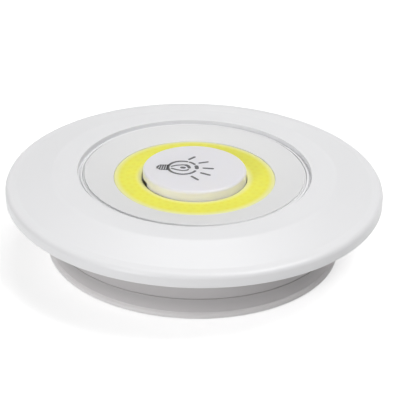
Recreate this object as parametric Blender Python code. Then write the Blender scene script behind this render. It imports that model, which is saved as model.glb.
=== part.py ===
"""Stick-on puck light with a ring of LEDs, a push button and a twist-off battery cover.

The light lies on its back: the origin is the middle of the pad's sticky face and +Z points out of
the light's face. Lengths are in metres and angles in degrees.
"""

import math

import bmesh
import bpy
from mathutils import Matrix, Vector

# General fits
clearance = 0.0003
cut_overrun = 0.0010
union_overlap = 0.0004

# Cells and their contacts
cell_diameter = 0.0105
cell_length = 0.0445
cell_gap = 0.0004
cell_edge_round = 0.0005
nub_radius = 0.0019
nub_length = 0.0009
seal_radius = 0.0036
contact_thickness = 0.0004
contact_corner = 0.0012
contact_margin = 0.0011
tab_width = 0.0024
tab_height_above_deck = 0.0014
spring_length = 0.0028
spring_tip_radius = 0.0018
spring_wire_radius = 0.00025
spring_turns = 2.5

# Battery tray, hanging from the deck of the drum
tray_wall = 0.0010
tray_corner = 0.0010
tray_room = 0.0006
saddle_width = 0.0020
saddle_place_share = 0.62
saddle_reach = 0.0026
keeper_width = 0.0015
keeper_lip = 0.0006
keeper_reach = 0.0004
deck_thickness = 0.0011

# Drum and the brim that closes the back of the bezel
drum_wall = 0.0012
drum_foot_round = 0.0004
brim_step = 0.0005
brim_thickness = 0.0012
post_radius = 0.0016
post_inset = 0.0030
post_angles = (60.0, 180.0, 300.0)
peg_radius = 0.0007
peg_height = 0.0004
peg_angles = (52.0, 232.0)

# Bayonet between the drum and the back cover
ledge_width = 0.0009
ledge_height = 0.0014
tab_wall = 0.0010
hook_height = 0.0012
stop_width = 0.0011
tab_count = 4
tab_half_angle = 7.0
gusset_reach = 0.0016
gusset_width = 0.0009
cover_twist = 22.0
bayonet_play = 1.2

# Back cover and its pad
pad_thickness = 0.0006
pad_proud = 0.0003
pad_radius = 0.0200
cover_floor = 0.0010
cover_wall = 0.0013
cover_skirt_height = 0.0035
flange_thickness = 0.0012
flange_proud = 0.0006
flange_round = 0.0003
scoop_length = 0.0150
scoop_width = 0.0045
scoop_depth = 0.0008

# Screws that hold the two shells together
screw_angles = (55.0, 125.0, 235.0, 305.0)
screw_shank_radius = 0.0009
screw_head_radius = 0.0019
screw_head_height = 0.0010
screw_length = 0.0045
screw_slot_width = 0.0005
screw_slot_depth = 0.0004
boss_radius = 0.0023
boss_margin = 0.001425

# Control board and what it carries
board_thickness = 0.0008
board_room = 0.0015
board_edge_margin = 0.00064
switch_side = 0.0060
switch_height = 0.0020
switch_bevel = 0.0004
switch_leg_reach = 0.0008
switch_leg_width = 0.0007
plunger_radius = 0.0015
plunger_depth = 0.0008
plunger_rise = 0.0007
plunger_travel = 0.0003
chip_length = 0.0049
chip_width = 0.0039
chip_height = 0.0015
chip_pin_reach = 0.0010
chip_pin_width = 0.0004
chip_pins_per_side = 4
receiver_width = 0.0042
receiver_depth = 0.0020
receiver_height = 0.0033
receiver_lens_radius = 0.0011
receiver_angle = 196.0
chip_part_height = 0.0008
transistor_size = (0.0029, 0.0013)
resistor_size = (0.0020, 0.0012)
capacitor_size = (0.0032, 0.0016)
part_bevel = 0.0002

# Lamp: metal board, phosphor ring and the plate round it
bay_height = 0.0024
lamp_board_thickness = 0.0010
lamp_board_margin = 0.00135
board_hole_gap = 0.0003
phosphor_inset = 0.0001
phosphor_width = 0.0061
phosphor_thickness = 0.0008
phosphor_round = 0.00015
plate_above_phosphor = 0.0001
plate_dish = 0.00105
plate_thickness = 0.0009
plate_step = 0.0006
plate_rim_thickness = 0.0012
plate_seat = 0.00155

# Button
button_draft = 0.00015
button_rise = 0.0023
button_round = 0.0007
button_wall = 0.0012
button_top_thickness = 0.0013
stem_radius = 0.0020
hook_out = 0.0010
hook_thickness = 0.0010
hook_lip = 0.0003
hook_half_angle = 10.0
hook_angles = (30.0, 150.0, 270.0)
key_angle = 90.0
key_width = 0.0020
key_reach = 0.0009
window_half_angle = 9.0
window_top_margin = 0.0004

# Bezel
mouth_depth = 0.00065
mouth_ledge = 0.00065
mouth_step = 0.0005
mouth_lean = 0.00015
crest_round = 0.0004
annulus_width = 0.00625
crown_drop = 0.0002
cone_drop = 0.00285
rim_overhang = 0.010625
rim_round = 0.0018
rim_drop = 0.0037
rim_draft = 0.0001
rim_wall = 0.0017
rim_lip = 0.0003
bezel_wall = 0.0013

# Leads
lead_radius = 0.00045
lead_steps_per_leg = 2

# Facets
shell_steps = 64
ring_steps = 48
cell_steps = 18
small_steps = 12
spring_steps_per_turn = 9

# Heights, from the back up
cover_bottom = pad_proud
recess_top = pad_thickness + clearance
cover_floor_top = recess_top + cover_floor
cell_radius = cell_diameter / 2
cell_axis_z = cover_floor_top + clearance + cell_radius
deck_bottom = cell_axis_z + cell_radius + clearance
deck_top = deck_bottom + deck_thickness
cover_top = cover_bottom + flange_thickness + cover_skirt_height
drum_bottom = cover_top + clearance
ledge_top = drum_bottom + ledge_height
hook_bottom = ledge_top + clearance
hook_top = hook_bottom + hook_height
brim_bottom = deck_top + brim_step
brim_top = brim_bottom + brim_thickness
board_bottom = deck_top + clearance
board_top = board_bottom + board_thickness
parts_z = board_top + clearance
switch_top = parts_z + switch_height
plunger_top = switch_top + plunger_rise
lamp_board_bottom = deck_top + bay_height
lamp_board_top = lamp_board_bottom + lamp_board_thickness
phosphor_bottom = lamp_board_top + clearance
phosphor_top = phosphor_bottom + phosphor_thickness
plate_top = phosphor_top + plate_above_phosphor
button_top = plate_top + button_rise
plate_edge_z = plate_top + plate_dish
crest_z = plate_edge_z + mouth_depth
rim_bottom = brim_bottom - rim_lip
tray_bottom = cover_floor_top + clearance

# Radii and half lengths, from the cells out
cell_pitch = cell_diameter + cell_gap
cell_angles = (0.0, 180.0, 0.0)
contact_offset = clearance + contact_thickness
contact_half_width = (cell_pitch - keeper_width) / 2 - clearance
spring_base_radius = contact_half_width - keeper_reach - clearance - spring_wire_radius
tray_half_length = (cell_length + spring_length + 2 * contact_offset + 3 * clearance) / 2
tray_half_width = cell_pitch + cell_radius + clearance
tray_reach = tray_wall + math.hypot(tray_half_length - tray_corner, tray_half_width - tray_corner) + tray_corner
tab_inner = tray_reach + tray_room
tab_outer = tab_inner + tab_wall
ledge_inner = tab_outer + clearance
drum_inner = ledge_inner + ledge_width
hook_reach = drum_inner - clearance
drum_radius = drum_inner + drum_wall
flange_radius = drum_radius + flange_proud
screw_circle = drum_inner - clearance - boss_radius
mouth_radius = screw_circle - boss_radius - boss_margin
chip_reach = switch_side / 2 + clearance + switch_leg_width + chip_length
control_radius = math.hypot(chip_width / 2, chip_reach) + board_edge_margin
skirt_inner = control_radius + board_room
skirt_radius = skirt_inner + button_wall
button_radius = skirt_radius - button_draft
board_hole = skirt_radius + board_hole_gap
phosphor_inner = board_hole + phosphor_inset
phosphor_outer = phosphor_inner + phosphor_width
plate_hole = phosphor_outer + clearance
plate_radius = mouth_radius - clearance
plate_flange_radius = mouth_radius + plate_seat
lamp_board_radius = mouth_radius - lamp_board_margin
crest_radius = mouth_radius + mouth_ledge + mouth_lean + crest_round
crease_radius = crest_radius + annulus_width
rim_radius = drum_radius + rim_overhang
brim_radius = rim_radius - rim_draft - rim_wall - clearance
post_circle = lamp_board_radius - post_inset
peg_circle = control_radius - 2 * peg_radius - clearance
contact_x = tray_half_length - clearance - contact_thickness / 2


def clear_scene():
    for item in list(bpy.data.objects):
        bpy.data.objects.remove(item)


def plastic(name, colour, roughness, metallic=0.0):
    material = bpy.data.materials.new(name)
    material.use_nodes = True
    shader = material.node_tree.nodes["Principled BSDF"]
    shader.inputs["Base Color"].default_value = (*colour, 1.0)
    shader.inputs["Roughness"].default_value = roughness
    shader.inputs["Metallic"].default_value = metallic
    return material


def solid(name, mesh_data, material=None):
    """An object made from a bmesh, with its faces turned outwards."""
    bmesh.ops.recalc_face_normals(mesh_data, faces=mesh_data.faces)
    mesh = bpy.data.meshes.new(name)
    mesh_data.to_mesh(mesh)
    mesh_data.free()
    piece = bpy.data.objects.new(name, mesh)
    bpy.context.scene.collection.objects.link(piece)
    if material:
        mesh.materials.append(material)
    return piece


def finish_round(piece, angle=35.0):
    piece.data.shade_smooth()
    piece.data.set_sharp_from_angle(angle=math.radians(angle))
    return piece


def combined(piece, others, operation):
    """The piece after a Boolean with each of the others, which are used up."""
    for other in others:
        other.hide_render = True
        other.display_type = "WIRE"
        step = piece.modifiers.new(operation.title(), "BOOLEAN")
        step.operation = operation
        step.solver = "EXACT"
        step.object = other
    graph = bpy.context.evaluated_depsgraph_get()
    mesh = bpy.data.meshes.new_from_object(piece.evaluated_get(graph))
    mesh.name = piece.name
    piece.modifiers.clear()
    piece.data = mesh
    for other in others:
        bpy.data.objects.remove(other)
    return piece


def joined(piece, *others):
    return combined(piece, others, "UNION")


def cut(piece, *others):
    return combined(piece, others, "DIFFERENCE")


def turned(profile, steps=shell_steps):
    """A bmesh turned about Z from (radius, height) points. It is closed at the axis or as a ring."""
    shape = bmesh.new()
    points = [shape.verts.new((radius, 0, height)) for radius, height in profile]
    edges = [shape.edges.new(pair) for pair in zip(points, points[1:])]
    if profile[0][0] > 0:
        edges.append(shape.edges.new((points[-1], points[0])))
    bmesh.ops.spin(
        shape, geom=points + edges, cent=(0, 0, 0), axis=(0, 0, 1),
        angle=math.tau, steps=steps, use_merge=True,
    )
    bmesh.ops.remove_doubles(shape, verts=shape.verts, dist=clearance / 1000)
    return shape


def prism(outline, bottom, top):
    """A bmesh of an (x, y) outline, raised from bottom to top."""
    shape = bmesh.new()
    base = shape.faces.new([shape.verts.new((x, y, bottom)) for x, y in outline])
    raised = bmesh.ops.extrude_face_region(shape, geom=[base])["geom"]
    corners = [item for item in raised if isinstance(item, bmesh.types.BMVert)]
    bmesh.ops.translate(shape, verts=corners, vec=(0, 0, top - bottom))
    return shape


def arc(centre, radii, start, end, steps):
    """Points of an arc from start to end degrees, with its own radius along each axis."""
    angles = [math.radians(start + (end - start) * i / steps) for i in range(steps + 1)]
    return [(centre[0] + radii[0] * math.cos(a), centre[1] + radii[1] * math.sin(a)) for a in angles]


def circle(radius, steps, centre=(0, 0)):
    return arc(centre, (radius, radius), 0, 360, steps)[:-1]


def polar(radius, angle):
    return radius * math.cos(math.radians(angle)), radius * math.sin(math.radians(angle))


def sector(inner, outer, middle, half_angle, steps=4):
    """The outline of a part of a ring."""
    far = arc((0, 0), (outer, outer), middle - half_angle, middle + half_angle, steps)
    near = arc((0, 0), (inner, inner), middle + half_angle, middle - half_angle, steps)
    return far + near


def rectangle(half_length, half_width, centre=(0, 0)):
    corners = ((1, 1), (-1, 1), (-1, -1), (1, -1))
    return [(centre[0] + i * half_length, centre[1] + j * half_width) for i, j in corners]


def rounded_rectangle(half_length, half_width, radius, steps=4):
    outline = []
    for corner, (i, j) in enumerate(((1, 1), (-1, 1), (-1, -1), (1, -1))):
        middle = (i * (half_length - radius), j * (half_width - radius))
        outline += arc(middle, (radius, radius), 90 * corner, 90 * corner + 90, steps)
    return outline


def swept(profile, middle, half_angle, steps=4):
    """A bmesh of a closed (radius, height) outline, swept about Z to both sides of an angle."""
    shape = bmesh.new()
    rings = []
    for i in range(steps + 1):
        angle = middle + half_angle * (2 * i / steps - 1)
        rings.append([shape.verts.new((*polar(radius, angle), height)) for radius, height in profile])
    for near, far in zip(rings, rings[1:]):
        for i in range(len(profile)):
            shape.faces.new((near[i - 1], near[i], far[i], far[i - 1]))
    shape.faces.new(rings[0])
    shape.faces.new(rings[-1])
    return shape


def moved(shape, matrix):
    bmesh.ops.transform(shape, matrix=matrix, verts=shape.verts)
    return shape


def turn(angle, axis="Z"):
    return Matrix.Rotation(math.radians(angle), 4, axis)


def shift(x, y, z):
    return Matrix.Translation((x, y, z))


def bevelled(shape, width, segments=2):
    """Rounds the sharp edges of a small block."""
    bmesh.ops.recalc_face_normals(shape, faces=shape.faces)
    sharp = [edge for edge in shape.edges if edge.calc_face_angle(0) > math.radians(50)]
    bmesh.ops.bevel(shape, geom=sharp, offset=width, segments=segments, affect="EDGES", profile=0.5)
    return shape


def block(size, bottom, top, centre=(0, 0), angle=0.0):
    """A bmesh block of size (x, y), turned about its own middle and moved to its centre."""
    shape = prism(rectangle(size[0] / 2, size[1] / 2), bottom, top)
    return moved(shape, shift(*centre, 0) @ turn(angle))


def smooth_route(points, steps=lead_steps_per_leg):
    """Points of the smooth curve through a route's own points."""
    route = [Vector(point) for point in points]
    ends = [2 * route[0] - route[1]] + route + [2 * route[-1] - route[-2]]
    curve = []
    for before, start, end, after in zip(ends, ends[1:], ends[2:], ends[3:]):
        for i in range(steps):
            t = i / steps
            curve.append((
                2 * start
                + (end - before) * t
                + (2 * before - 5 * start + 4 * end - after) * t ** 2
                + (3 * start - before - 3 * end + after) * t ** 3
            ) / 2)
    return curve + [route[-1]]


def tube(name, points, radius, material, sides=2):
    """A round wire along the points, with closed ends."""
    curve = bpy.data.curves.new(name, "CURVE")
    curve.dimensions = "3D"
    curve.bevel_depth = radius
    curve.bevel_resolution = sides
    curve.use_fill_caps = True
    line = curve.splines.new("POLY")
    line.points.add(len(points) - 1)
    for spot, point in zip(line.points, points):
        spot.co = (*point, 1)
    curve.materials.append(material)
    piece = bpy.data.objects.new(name, curve)
    bpy.context.scene.collection.objects.link(piece)
    return piece


def front_bezel():
    """The wide white ring: a moulded shell, open below, with a ledge at its mouth and four screw bosses."""
    rim_start = rim_radius - rim_round
    widest_z = crest_z - rim_drop
    cone_z = crest_z - cone_drop
    under_z = plate_top - plate_step + clearance
    ledge_z = crest_z - mouth_step
    inner_rim = rim_radius - rim_draft - rim_wall
    profile = [(mouth_radius, under_z), (mouth_radius, ledge_z), (mouth_radius + mouth_ledge, ledge_z)]
    profile += arc((crest_radius, crest_z - crest_round), (crest_round, crest_round), 180, 90, 3)
    profile += [(crease_radius, crest_z - crown_drop)]
    profile += arc((rim_start, widest_z), (rim_round, cone_z - widest_z), 90, 0, 6)
    profile += [
        (rim_radius - rim_draft, rim_bottom),
        (inner_rim, rim_bottom),
        (inner_rim, cone_z - bezel_wall),
        (crease_radius, under_z + clearance),
    ]
    bezel = solid("front_bezel", turned(profile), white)
    bosses = [
        solid("boss", prism(circle(boss_radius, small_steps, polar(screw_circle, angle)),
                            deck_top + clearance, under_z + union_overlap))
        for angle in screw_angles
    ]
    bores = [
        solid("bore", prism(circle(screw_shank_radius + clearance, small_steps, polar(screw_circle, angle)),
                            deck_top - cut_overrun, deck_bottom + screw_length + clearance))
        for angle in screw_angles
    ]
    return finish_round(cut(joined(bezel, *bosses), *bores))


def drum_housing():
    """The drum under the rim: brim, deck, battery tray, bayonet ledge and posts in one moulding."""
    profile = [
        (0, deck_top),
        (drum_inner, deck_top),
        (drum_inner, brim_top),
        (brim_radius, brim_top),
        (brim_radius, brim_bottom),
        (drum_radius, brim_bottom),
        (drum_radius, drum_bottom + drum_foot_round),
        (drum_radius - drum_foot_round, drum_bottom),
        (ledge_inner, drum_bottom),
        (ledge_inner, ledge_top),
        (drum_inner, ledge_top),
        (drum_inner, deck_bottom),
        (0, deck_bottom),
    ]
    drum = solid("drum_housing", turned(profile), grey_white)
    return finish_round(cut(joined(drum, *tray_pieces(), *post_pieces()), *housing_cutters()))


def tray_pieces():
    """The tray's wall, two saddles shaped to the cells, and the stops of the bayonet."""
    wall = solid("tray", prism(
        rounded_rectangle(tray_half_length + tray_wall, tray_half_width + tray_wall, tray_corner + tray_wall),
        tray_bottom, deck_bottom + union_overlap))
    room = solid("tray_room", prism(
        rounded_rectangle(tray_half_length, tray_half_width, tray_corner),
        tray_bottom - cut_overrun, deck_bottom + union_overlap + cut_overrun))
    saddle_x = cell_length / 2 * saddle_place_share
    saddles = [
        solid("saddle", prism(
            rectangle(saddle_width / 2, tray_half_width + tray_wall / 2, (side * saddle_x, 0)),
            cell_axis_z + saddle_reach, deck_bottom + union_overlap))
        for side in (-1, 1)
    ]
    bed_radius = cell_radius + clearance + clearance / 2
    beds = [
        solid("bed", moved(prism(circle(bed_radius, cell_steps), -tray_half_length, tray_half_length),
                           shift(0, row * cell_pitch, cell_axis_z) @ turn(90, "Y")))
        for row in (-1, 0, 1)
    ]
    stops = []
    for number in range(tab_count):
        middle = 360 / tab_count * number
        stop_half_angle = math.degrees(stop_width / drum_inner) / 2
        away = tab_half_angle + bayonet_play + stop_half_angle
        for angle in (middle + away, middle - cover_twist - away):
            stops.append(solid("stop", prism(
                sector((ledge_inner + hook_reach) / 2, drum_inner + union_overlap, angle, stop_half_angle, 2),
                ledge_top - union_overlap, hook_top)))
    saddles = [cut(saddle, *copies(beds)) for saddle in saddles]
    return [cut(wall, room), *saddles, *used_up(beds), *contact_keepers(), *stops]


def contact_keepers():
    """Grooves that hold the contacts' edges at one end of the tray, and the same turned round at the other."""
    wall_x = tray_half_length + tray_wall / 2
    wall_y = tray_half_width + tray_wall / 2
    back_x = tray_half_length - contact_offset - clearance
    front_x = back_x - keeper_lip
    low = contact_half_width
    high = cell_pitch - contact_half_width
    outlines = [[
        (wall_x, low + clearance), (wall_x, high - clearance), (back_x, high - clearance),
        (back_x, high + keeper_reach), (front_x, high + keeper_reach), (front_x, low - keeper_reach),
        (back_x, low - keeper_reach), (back_x, low + clearance),
    ]]
    for side in (-1, 1):
        edge = cell_pitch + contact_half_width
        outlines.append([
            (wall_x, side * (edge + clearance)), (wall_x, side * wall_y), (front_x, side * wall_y),
            (front_x, side * (edge - keeper_reach)), (back_x, side * (edge - keeper_reach)),
            (back_x, side * (edge + clearance)),
        ])
    return [
        solid("keeper", moved(prism(outline, tray_bottom + clearance, deck_bottom + union_overlap), turn(angle)))
        for angle in (0, 180) for outline in outlines
    ]


def copies(pieces):
    """Fresh copies of pieces, for a Boolean that uses them up."""
    made = []
    for piece in pieces:
        double = piece.copy()
        bpy.context.scene.collection.objects.link(double)
        made.append(double)
    return made


def used_up(pieces):
    for piece in pieces:
        bpy.data.objects.remove(piece)
    return []


def post_pieces():
    """Posts under the lamp board, and the pegs that hold the control board in place."""
    posts = [
        solid("post", prism(circle(post_radius, small_steps, polar(post_circle, angle)),
                            deck_top - union_overlap, lamp_board_bottom - clearance))
        for angle in post_angles
    ]
    pegs = [
        solid("peg", prism(circle(peg_radius, small_steps, polar(peg_circle, angle)),
                           deck_top - union_overlap, board_top + peg_height))
        for angle in peg_angles
    ]
    return posts + pegs


def housing_cutters():
    """Screw holes, slots for the contacts' tabs, and the entries of the bayonet."""
    holes = [
        solid("screw_hole", prism(circle(screw_shank_radius + clearance, small_steps, polar(screw_circle, angle)),
                                  deck_bottom - cut_overrun, deck_top + cut_overrun))
        for angle in screw_angles
    ]
    slots = [
        solid("tab_slot", block((contact_thickness + 2 * clearance, tab_width + 2 * clearance),
                                deck_bottom - cut_overrun, deck_top + cut_overrun,
                                (side * contact_x, side * cell_pitch)))
        for side in (-1, 1)
    ]
    entries = [
        solid("entry", prism(
            sector(ledge_inner - cut_overrun, hook_reach + clearance / 2,
                   360 / tab_count * number - cover_twist, tab_half_angle + bayonet_play / 2),
            drum_bottom - cut_overrun, ledge_top + union_overlap))
        for number in range(tab_count)
    ]
    return holes + slots + entries


def back_cover():
    """The twist-off cover: floor with a recess for the pad, flange, skirt and four bayonet tabs."""
    flange_top = cover_bottom + flange_thickness
    profile = [
        (0, cover_floor_top),
        (drum_radius - cover_wall, cover_floor_top),
        (drum_radius - cover_wall, cover_top),
        (drum_radius, cover_top),
        (drum_radius, flange_top),
        (flange_radius - flange_round, flange_top),
        (flange_radius, flange_top - flange_round),
        (flange_radius, cover_bottom + flange_round),
        (flange_radius - flange_round, cover_bottom),
        (pad_radius + clearance, cover_bottom),
        (pad_radius + clearance, recess_top),
        (0, recess_top),
    ]
    cover = solid("back_cover", turned(profile), grey_white)
    tabs = [bayonet_tab(360 / tab_count * number) for number in range(tab_count)]
    scoop_middle = (pad_radius + clearance + flange_radius) / 2
    scoops = [
        solid("scoop", moved(
            prism(rounded_rectangle(scoop_length / 2, scoop_width / 2, scoop_width / 2),
                  cover_bottom - cut_overrun, cover_bottom + scoop_depth),
            shift(0, side * scoop_middle, 0)))
        for side in (-1, 1)
    ]
    return finish_round(cut(joined(cover, *tabs), *scoops))


def bayonet_tab(angle):
    """An upright tab with a hook that turns outwards over the drum's ledge."""
    profile = [
        (tab_inner, cover_floor_top - union_overlap),
        (tab_outer, cover_floor_top - union_overlap),
        (tab_outer, hook_bottom),
        (hook_reach, hook_bottom),
        (hook_reach, hook_top - hook_lip),
        (hook_reach - hook_lip, hook_top),
        (tab_inner, hook_top),
    ]
    gusset = [
        (tab_inner - gusset_reach, cover_floor_top - union_overlap),
        (tab_inner + tab_wall / 2, cover_floor_top - union_overlap),
        (tab_inner + tab_wall / 2, hook_bottom),
        (tab_inner, hook_bottom),
        (tab_inner - gusset_reach, cover_floor_top + clearance),
    ]
    half_angle = math.degrees(gusset_width / 2 / tab_inner)
    return joined(solid("tab", swept(profile, angle, tab_half_angle)),
                  solid("gusset", swept(gusset, angle, half_angle, 1)))


def adhesive_pad():
    profile = [(0, pad_thickness), (pad_radius, pad_thickness), (pad_radius, 0), (0, 0)]
    return finish_round(solid("adhesive_pad", turned(profile, ring_steps), foam))


def cell(number):
    """A cell with its nub towards +X before it is turned, its sealing ring sunk below the wrap."""
    body_end = cell_length - nub_length
    profile = [
        (0, cell_length),
        (nub_radius, cell_length),
        (nub_radius, body_end - cell_edge_round),
        (seal_radius, body_end - cell_edge_round),
        (cell_radius - cell_edge_round, body_end),
        (cell_radius, body_end - cell_edge_round),
        (cell_radius, cell_edge_round),
        (cell_radius - cell_edge_round, 0),
        (0, 0),
    ]
    shape = turned(profile, cell_steps)
    nub_x = tray_half_length - contact_offset - clearance
    place = shift(0, (1 - number) * cell_pitch, cell_axis_z) @ turn(cell_angles[number])
    moved(shape, place @ shift(nub_x - cell_length, 0, 0) @ turn(90, "Y"))
    return finish_round(solid(f"aaa_cell_{number + 1}", shape, wrap))


def contact_outline(rows, tab_row=None):
    """The outline of a contact in its own plane, as (y, z), with a tab that rises through the deck."""
    low = min(rows) * cell_pitch - contact_half_width
    high = max(rows) * cell_pitch + contact_half_width
    bottom = cell_axis_z - cell_radius + contact_margin
    top = cell_axis_z + cell_radius - contact_margin
    outline = [
        (low + contact_corner, bottom), (high - contact_corner, bottom), (high, bottom + contact_corner),
        (high, top - contact_corner), (high - contact_corner, top),
    ]
    if tab_row is not None:
        middle = tab_row * cell_pitch
        tab_top = deck_top + tab_height_above_deck
        outline += [
            (middle + tab_width / 2, top), (middle + tab_width / 2, tab_top),
            (middle - tab_width / 2, tab_top), (middle - tab_width / 2, top),
        ]
    return outline + [(low + contact_corner, top), (low, top - contact_corner), (low, bottom + contact_corner)]


def contact(name, side, rows, tab_row=None):
    """A stamped plate against one end wall of the tray."""
    shape = prism(contact_outline(rows, tab_row), -contact_thickness / 2, contact_thickness / 2)
    upright = Matrix(((0, 0, 1, 0), (1, 0, 0, 0), (0, 1, 0, 0), (0, 0, 0, 1)))
    return solid(name, moved(shape, shift(side * contact_x, 0, 0) @ upright), nickel)


def contact_spring(number):
    """A conical coil between its plate and the flat end of its cell."""
    steps = round(spring_turns * spring_steps_per_turn)
    travel = spring_length - 2 * spring_wire_radius
    points = []
    for i in range(steps + 1):
        share = i / steps
        radius = spring_base_radius + (spring_tip_radius - spring_base_radius) * share
        y, z = polar(radius, 360 * spring_turns * share)
        points.append(Vector((spring_wire_radius + travel * share, y, z)))
    start_x = -tray_half_length + contact_offset + clearance
    place = shift(0, (1 - number) * cell_pitch, cell_axis_z) @ turn(cell_angles[number]) @ shift(start_x, 0, 0)
    least = min(
        (a - b).length
        for i, a in enumerate(points) for b in points[i + spring_steps_per_turn // 2:]
    ) - 2 * spring_wire_radius
    print(f"contact_spring_{number + 1}: least gap between turns {1000 * least:.2f} mm")
    return tube(f"contact_spring_{number + 1}", [place @ point for point in points],
                spring_wire_radius, nickel, 1)


def housing_screw(number):
    """A pan-head screw, driven up through the deck into a boss of the bezel."""
    head_top = deck_bottom - clearance
    head_bottom = head_top - screw_head_height
    crown = screw_head_height / 3
    profile = [
        (0, deck_bottom + screw_length),
        (screw_shank_radius / 2, deck_bottom + screw_length),
        (screw_shank_radius, deck_bottom + screw_length - screw_shank_radius),
        (screw_shank_radius, head_top),
        (screw_head_radius, head_top),
        (screw_head_radius, head_bottom + crown),
        (screw_head_radius - crown, head_bottom),
        (0, head_bottom),
    ]
    place = shift(*polar(screw_circle, screw_angles[number]), 0)
    screw = solid(f"housing_screw_{number + 1}", moved(turned(profile, small_steps), place), steel)
    slots = [
        solid("slot", moved(block(size, head_bottom - cut_overrun, head_bottom + screw_slot_depth), place))
        for size in ((2 * screw_shank_radius, screw_slot_width), (screw_slot_width, 2 * screw_shank_radius))
    ]
    return finish_round(cut(screw, joined(*slots)))


def control_board():
    board = solid("control_board", prism(circle(control_radius, 2 * cell_steps), board_bottom, board_top), board_green)
    holes = [
        solid("peg_hole", prism(circle(peg_radius + clearance, small_steps, polar(peg_circle, angle)),
                                board_bottom - cut_overrun, board_top + cut_overrun))
        for angle in peg_angles
    ]
    return cut(board, *holes)


def tact_switch():
    """The body of the push switch, with four legs and a well for its plunger."""
    body = solid("tact_switch_body", bevelled(block((switch_side, switch_side), parts_z, switch_top),
                                              switch_bevel, 1), black)
    leg_place = switch_side / 2 - switch_leg_width
    legs = [
        solid("leg", block((switch_side + 2 * switch_leg_reach, switch_leg_width), parts_z,
                           parts_z + switch_leg_width / 2, (0, side * leg_place)))
        for side in (-1, 1)
    ]
    well = solid("well", prism(circle(plunger_radius + clearance, small_steps),
                               switch_top - plunger_depth - plunger_travel - clearance, switch_top + cut_overrun))
    return finish_round(cut(joined(body, *legs), well))


def tact_plunger():
    crown = plunger_radius / 4
    profile = [
        (0, plunger_top),
        (plunger_radius - crown, plunger_top),
        (plunger_radius, plunger_top - crown),
        (plunger_radius, switch_top - plunger_depth),
        (0, switch_top - plunger_depth),
    ]
    return finish_round(solid("tact_plunger", turned(profile, small_steps), black))


def microcontroller():
    """A flat chip with four pins a side."""
    centre = (0, switch_side / 2 + clearance + switch_leg_width + chip_length / 2)
    body = solid("microcontroller", bevelled(
        block((chip_width, chip_length), parts_z, parts_z + chip_height, centre), part_bevel, 1), black)
    pitch = chip_length / chip_pins_per_side
    pins = [
        solid("pins", block((chip_width + 2 * chip_pin_reach, chip_pin_width), parts_z, parts_z + chip_pin_width,
                            (centre[0], centre[1] + pitch * (i - (chip_pins_per_side - 1) / 2))))
        for i in range(chip_pins_per_side)
    ]
    return joined(body, *pins)


def ir_receiver():
    """The remote control's receiver: a dark block with a domed lens that looks out of the button's side."""
    front = control_radius - receiver_lens_radius
    middle = front - receiver_depth / 2
    place = turn(receiver_angle)
    top = parts_z + receiver_height
    body = solid("ir_receiver", moved(
        bevelled(block((receiver_depth, receiver_width), parts_z, top, (middle, 0)), part_bevel, 1), place), black)
    dome = bmesh.new()
    bmesh.ops.create_uvsphere(dome, u_segments=small_steps, v_segments=small_steps // 2,
                              radius=receiver_lens_radius)
    lens = solid("lens", moved(dome, place @ shift(front, 0, (parts_z + top) / 2)))
    return finish_round(joined(body, lens))


def chip_part(name, size, material, centre, angle=0.0):
    shape = block(size, parts_z, parts_z + chip_part_height, centre, angle)
    return solid(name, bevelled(shape, part_bevel, 1), material)


def small_parts():
    """The small parts round the edge of the control board, each in its own sector."""
    ring = control_radius - transistor_size[1] - clearance
    chip_part("driver_transistor", transistor_size, black, polar(ring, 300), 300 - 90)
    chip_part("chip_resistor_1", resistor_size, black, polar(ring, 20), 20 - 90)
    chip_part("chip_resistor_2", resistor_size, black, polar(ring, 140), 140 - 90)
    chip_part("filter_capacitor", capacitor_size, tan, polar(ring - clearance, 255), 255 - 90)


def cob_board():
    """The metal board of the lamp, a flat ring with a notch for the button's key."""
    profile = [
        (board_hole, lamp_board_top), (lamp_board_radius, lamp_board_top),
        (lamp_board_radius, lamp_board_bottom), (board_hole, lamp_board_bottom),
    ]
    board = solid("cob_board", turned(profile, ring_steps), board_white)
    notch = solid("notch", moved(
        block((2 * (key_reach + 2 * clearance), key_width + 2 * clearance),
              lamp_board_bottom - cut_overrun, lamp_board_top + cut_overrun, (skirt_radius, 0)),
        turn(key_angle)))
    return finish_round(cut(board, notch))


def cob_phosphor():
    profile = [
        (phosphor_inner, phosphor_bottom),
        (phosphor_inner, phosphor_top - phosphor_round),
        (phosphor_inner + phosphor_round, phosphor_top),
        (phosphor_outer - phosphor_round, phosphor_top),
        (phosphor_outer, phosphor_top - phosphor_round),
        (phosphor_outer, phosphor_bottom),
    ]
    return finish_round(solid("cob_phosphor", turned(profile, ring_steps), phosphor))


def lamp_plate():
    """The plate: a shallow dish with a lower outer flange, relieved round the bezel's bosses."""
    flange_top = plate_top - plate_step
    flange_bottom = flange_top - plate_rim_thickness
    profile = [
        (plate_hole, plate_top), (plate_radius, plate_edge_z), (plate_radius, flange_top),
        (plate_flange_radius, flange_top), (plate_flange_radius, flange_bottom),
        (lamp_board_radius + clearance, flange_bottom),
        (lamp_board_radius + clearance, plate_edge_z - plate_thickness),
        (plate_hole, plate_top - plate_thickness),
    ]
    plate = solid("lamp_plate", turned(profile), plate_white)
    reliefs = [
        solid("relief", prism(circle(boss_radius + clearance, small_steps, polar(screw_circle, angle)),
                              flange_bottom - cut_overrun, flange_top + clearance))
        for angle in screw_angles
    ]
    return finish_round(cut(plate, *reliefs))


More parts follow.
